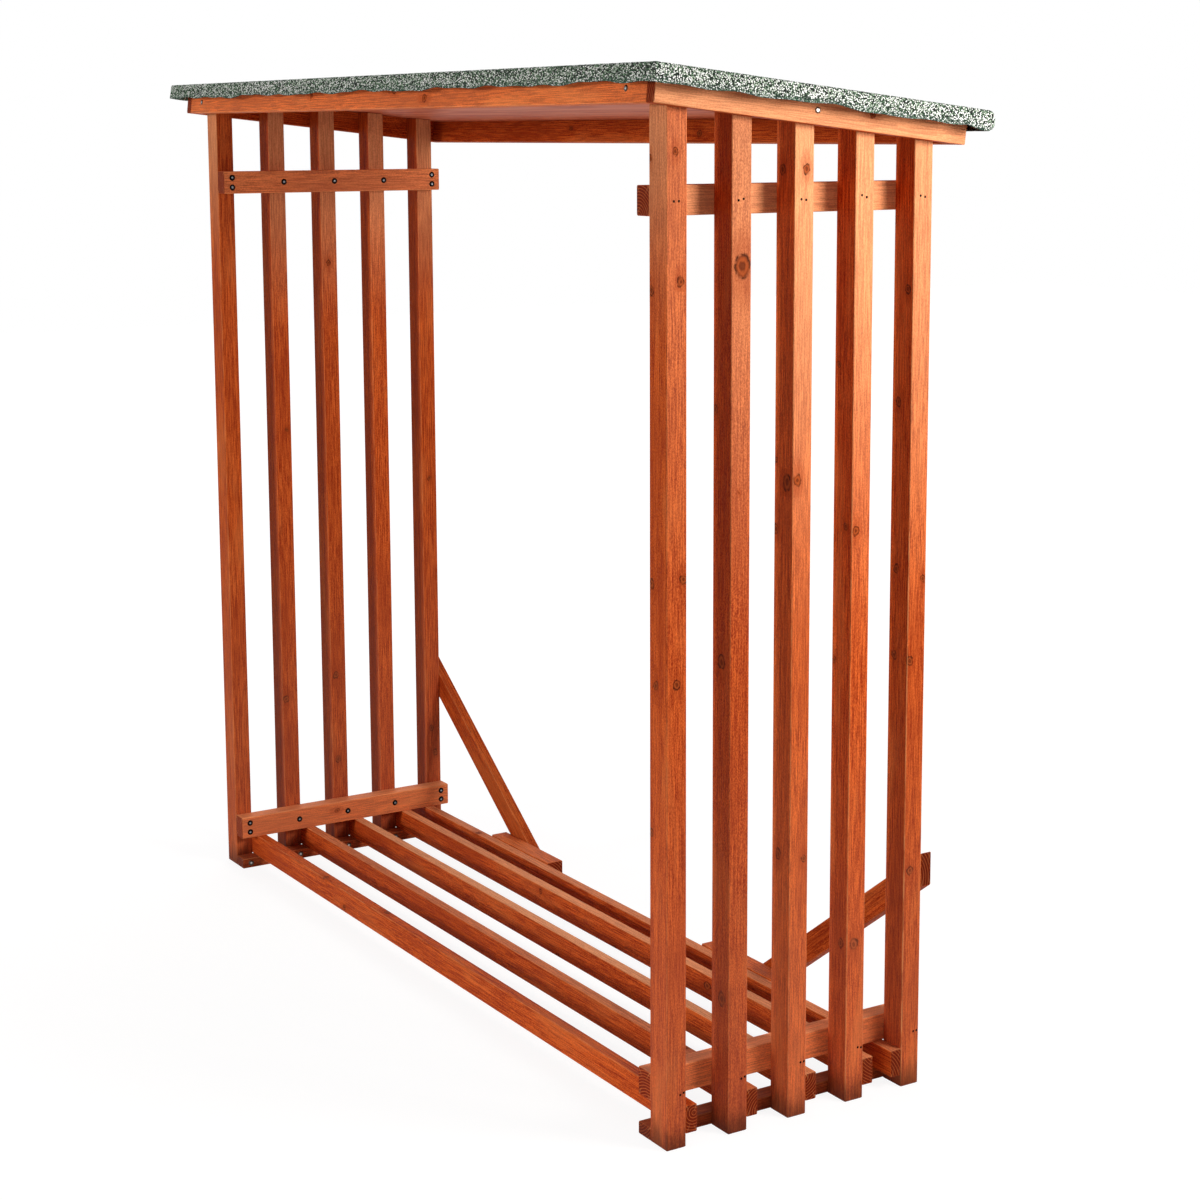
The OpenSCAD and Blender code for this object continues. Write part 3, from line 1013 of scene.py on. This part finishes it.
stageLook = dict(
    floorSize=30.0,
    floorColour="#f4f3f1",
    white="#ffffff",
    whiteNear=0.8,  # distances over which the floor fades to plain white
    whiteFar=2.6,
    shadowShare=0.18,  # how much of what is seen near the object takes its shadow
    floorWhite=1.09,  # makes up for the shaded share, so that the open floor is white too
    ambient=0.28,
    ambientColour="#f6f7fa",
)


def whiteToTheEye(tree):
    # 1 for rays from the camera, or by way of a mirror or glass
    path = put(tree, "LightPath").node.outputs
    seen = path["Is Camera Ray"]
    for kind in ("Is Glossy Ray", "Is Transmission Ray"):
        seen = put(tree, "Math", (seen, path[kind]), operation="MAXIMUM")
    return seen


def makeFloorAndSky(spec):
    # a pale floor that takes a soft shadow near the object and fades to the white beyond
    half = spec["floorSize"] / 2
    mesh = bpy.data.meshes.new("floor")
    corners = (-half, -half, 0), (half, -half, 0), (half, half, 0), (-half, half, 0)
    mesh.from_pydata(corners, [], [(0, 1, 2, 3)])
    floor = bpy.data.objects.new("floor", mesh)
    bpy.context.collection.objects.link(floor)
    material, tree = newMaterial("pale_floor")
    away = put(tree, "VectorMath", (put(tree, "TexCoord", out="Object"),), "Value", operation="LENGTH")
    fade = (spec["whiteNear"], spec["whiteFar"], 1 - spec["shadowShare"], 1.0)
    whiteShare = put(tree, "MapRange", (away, *fade), **smoothStep)
    whiteSeen = put(tree, "Math", (whiteToTheEye(tree), whiteShare), operation="MULTIPLY")
    pale = put(tree, "BsdfDiffuse", {"Color": spec["floorColour"]})
    white = put(tree, "Emission", {"Color": spec["white"], "Strength": spec["floorWhite"]})
    put(tree, "OutputMaterial", (put(tree, "MixShader", (whiteSeen, pale, white)),))
    mesh.materials.append(material)

    world = bpy.data.worlds.new("studio")
    bpy.context.scene.world = world
    world.use_nodes = True
    world.node_tree.nodes.clear()
    sky = world.node_tree
    seen = put(sky, "Background", {"Color": spec["white"], "Strength": 1.0})
    ambient = put(sky, "Background", {"Color": spec["ambientColour"], "Strength": spec["ambient"]})
    put(sky, "OutputWorld", (put(sky, "MixShader", (whiteToTheEye(sky), ambient, seen)),))


lightLook = dict(
    lamps=(  # name, place, aim, size, power, colour, spread in degrees
        ("key", (2.6, 1.25, 1.9), (0.9, 0.0, 1.5), 1.0, 35.0, "#fffaf6", 120),
        ("front", (0.0, -9.0, 2.6), (0.0, 0.0, 1.0), 1.6, 330.0, "#fffaf4", 180),
        ("low", (1.90, -2.00, 0.26), (0.90, 0.0, 0.18), 0.4, 0.6, "#fff4ec", 50),
        ("left", (-4.0, 1.5, 3.2), (0.0, 0.0, 0.9), 3.0, 70.0, "#f8faff", 180),
        ("top", (0.0, 0.3, 3.8), (0.0, 0.0, 1.7), 2.0, 3.2, "#fbfcff", 80),
    ),
)


def makeLights(spec):
    for name, place, aim, size, power, code, spread in spec["lamps"]:
        lamp = bpy.data.lights.new(name, "AREA")
        lamp.shape = "DISK"
        lamp.size = size
        lamp.energy = power
        lamp.spread = math.radians(spread)
        lamp.color = linear(code)[:3]
        holder = bpy.data.objects.new(name, lamp)
        holder.location = place
        holder.rotation_euler = (Vector(aim) - Vector(place)).to_track_quat("-Z", "Y").to_euler()
        holder.visible_camera = False
        bpy.context.collection.objects.link(holder)


viewpoint = dict(
    place=(3.9123, -2.2477, 1.6526),
    yaw=58.297,  # degrees, as pitch and roll are
    pitch=-8.570,
    roll=-0.257,
    lens=69.586,
    sensor=36.0,
    shiftY=-0.100,
)


def makeCamera(spec):
    # looks along the yaw, tipped by the pitch and turned about its own axis by the roll
    yaw, pitch, roll = (math.radians(spec[k]) for k in ("yaw", "pitch", "roll"))
    ahead = Vector((-math.sin(yaw) * math.cos(pitch), math.cos(yaw) * math.cos(pitch), math.sin(pitch)))
    level = Vector((math.cos(yaw), math.sin(yaw), 0.0))
    upward = level.cross(ahead)
    right = math.cos(roll) * level + math.sin(roll) * upward
    top = -math.sin(roll) * level + math.cos(roll) * upward
    data = bpy.data.cameras.new("photo_view")
    data.lens = spec["lens"]
    data.sensor_width = spec["sensor"]
    data.shift_y = spec["shiftY"]
    camera = bpy.data.objects.new("photo_view", data)
    turn = np.array([right, top, -ahead]).T
    camera.matrix_world = Matrix([[*turn[i], spec["place"][i]] for i in range(3)] + [[0, 0, 0, 1]])
    bpy.context.collection.objects.link(camera)
    bpy.context.scene.camera = camera


makeFloorAndSky(stageLook)
makeLights(lightLook)
makeCamera(viewpoint)
bpy.context.scene.view_settings.view_transform = "Standard"
print("stage set")
